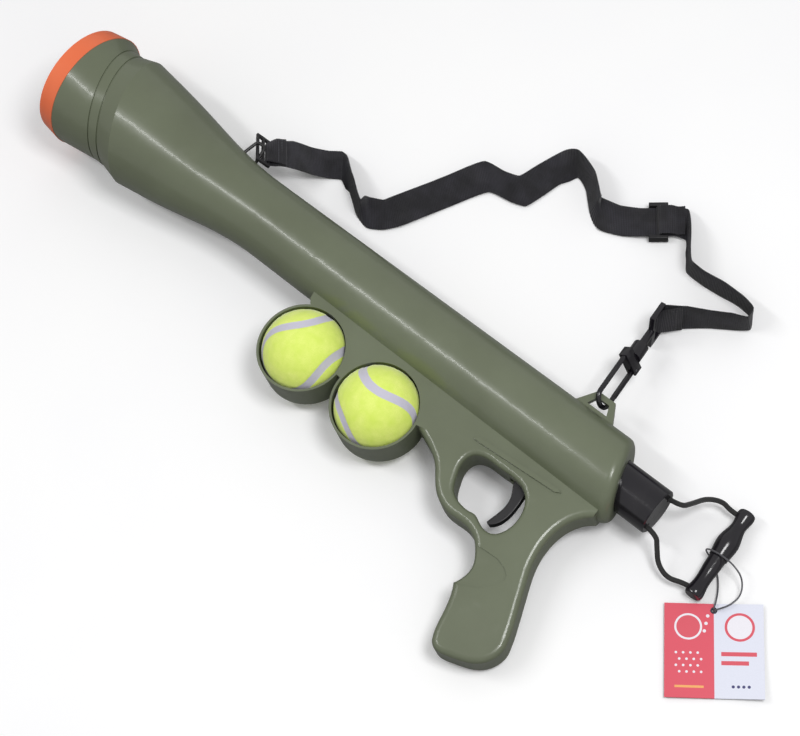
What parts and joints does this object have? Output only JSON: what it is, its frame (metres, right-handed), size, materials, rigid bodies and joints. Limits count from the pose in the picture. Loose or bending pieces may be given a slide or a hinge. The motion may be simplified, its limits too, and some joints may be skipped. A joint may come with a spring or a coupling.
{
  "type": "ball launcher",
  "caption": "Shoulder-style dog ball launcher: flared barrel, spring plunger with pull handle, pistol grip and trigger, side ball holders with spare balls, carry strap and hang tag.",
  "frame": {"origin": "centre of the mouth's front edge, on the barrel's axis", "axes": "+X runs from the mouth to the rear along the barrel, +Y points from the grip's side to the strap's side, +Z points to the launcher's left side, which lies uppermost"},
  "size_m": [0.7195, 0.3902, 0.1057],
  "materials": {
    "olive_shell": "moulded, glossy",
    "orange_ring": "moulded, satin",
    "black_plastic": "moulded, satin",
    "gloss_black": "moulded, glossy",
    "black_rubber": "matt",
    "steel": "plated",
    "spring_steel": "drawn wire",
    "ball_felt": "napped felt",
    "ball_rubber": "matt",
    "black_cord": "braided",
    "tag_card": "printed, smooth",
    "eyelet_metal": "painted",
    "grey_elastic": "thin round elastic",
    "black_wire": "painted",
    "black_webbing": "woven"
  },
  "bodies": {
    "housing": {"left_shell": "olive_shell", "right_shell": "olive_shell", "muzzle_ring": "orange_ring", "spring_stop": "black_plastic", "rear_bushing": "black_plastic", "drive_spring": "spring_steel", "trigger_pin": "steel", "sear_pin": "steel", "trigger_spring": "spring_steel", "sear_spring": "spring_steel", "shell_screws": "steel", "strap_loop": "black_wire", "front_slide": "black_plastic", "strap_webbing": "black_webbing", "swivel_eye": "gloss_black"},
    "plunger": {"plunger_tube": "gloss_black", "striker_head": "black_plastic", "striker_pad": "black_rubber", "striker_pin": "steel", "plunger_cap": "gloss_black", "cord_knots": "black_cord", "pull_cord_upper": "black_cord", "pull_cord_lower": "black_cord", "handle_upper_half": "gloss_black", "handle_lower_half": "gloss_black", "tag_loop": "grey_elastic", "tag_eyelet": "eyelet_metal", "hang_tag": "tag_card"},
    "trigger": {"trigger": "black_plastic"},
    "sear": {"sear": "black_plastic"},
    "front_ball": {"front_ball_felt": "ball_felt", "front_ball_core": "ball_rubber"},
    "rear_ball": {"rear_ball_felt": "ball_felt", "rear_ball_core": "ball_rubber"},
    "hook": {"snap_hook": "gloss_black", "gate_pin": "steel"},
    "hook_gate": {"hook_gate": "gloss_black"},
    "adjuster": {"adjuster_slide": "black_plastic"}
  },
  "joints": [
    {"name": "plunger_draw", "type": "slide", "parent": "housing", "child": "plunger", "axis": [1, 0, 0], "range_m": [0, 0.118], "stiffness_N_per_m": 300, "springref_m": -0.03, "deforming": ["drive_spring"]},
    {"name": "trigger_pull", "type": "hinge", "parent": "housing", "child": "trigger", "pos_m": [0.499, -0.038, 0], "axis": [0, 0, 1], "range_deg": [0, 14], "stiffness_Nm_per_rad": 0.05, "springref_deg": -11.46},
    {"name": "sear_drop", "type": "hinge", "parent": "housing", "child": "sear", "pos_m": [0.45, -0.0375, 0], "axis": [0, 0, 1], "range_deg": [-4.6, 0]},
    {"name": "front_ball_lift", "type": "slide", "parent": "housing", "child": "front_ball", "axis": [0, 0, 1], "range_m": [0, 0.05]},
    {"name": "rear_ball_lift", "type": "slide", "parent": "housing", "child": "rear_ball", "axis": [0, 0, 1], "range_m": [0, 0.05]},
    {"name": "hook_swivel", "type": "hinge", "parent": "housing", "child": "hook", "pos_m": [0.50112, 0.03778, 0.00164], "axis": [-0.1623, 0.9318, -0.3246], "range_deg": [-3, 8]},
    {"name": "gate_swing", "type": "hinge", "parent": "hook", "child": "hook_gate", "pos_m": [0.49794, 0.07827, -0.01919], "axis": [-0.8247, -0.3087, -0.474], "range_deg": [0, 20], "stiffness_Nm_per_rad": 0.02, "springref_deg": -17.19},
    {"name": "adjuster_shift", "type": "slide", "parent": "housing", "child": "adjuster", "axis": [0.7843, 0.6192, -0.038], "range_m": [-0.0035, 0.0035]}
  ],
  "couplings": [
    {"joint": "sear_drop", "follows": "trigger_pull", "ratio": -0.32}
  ]
}
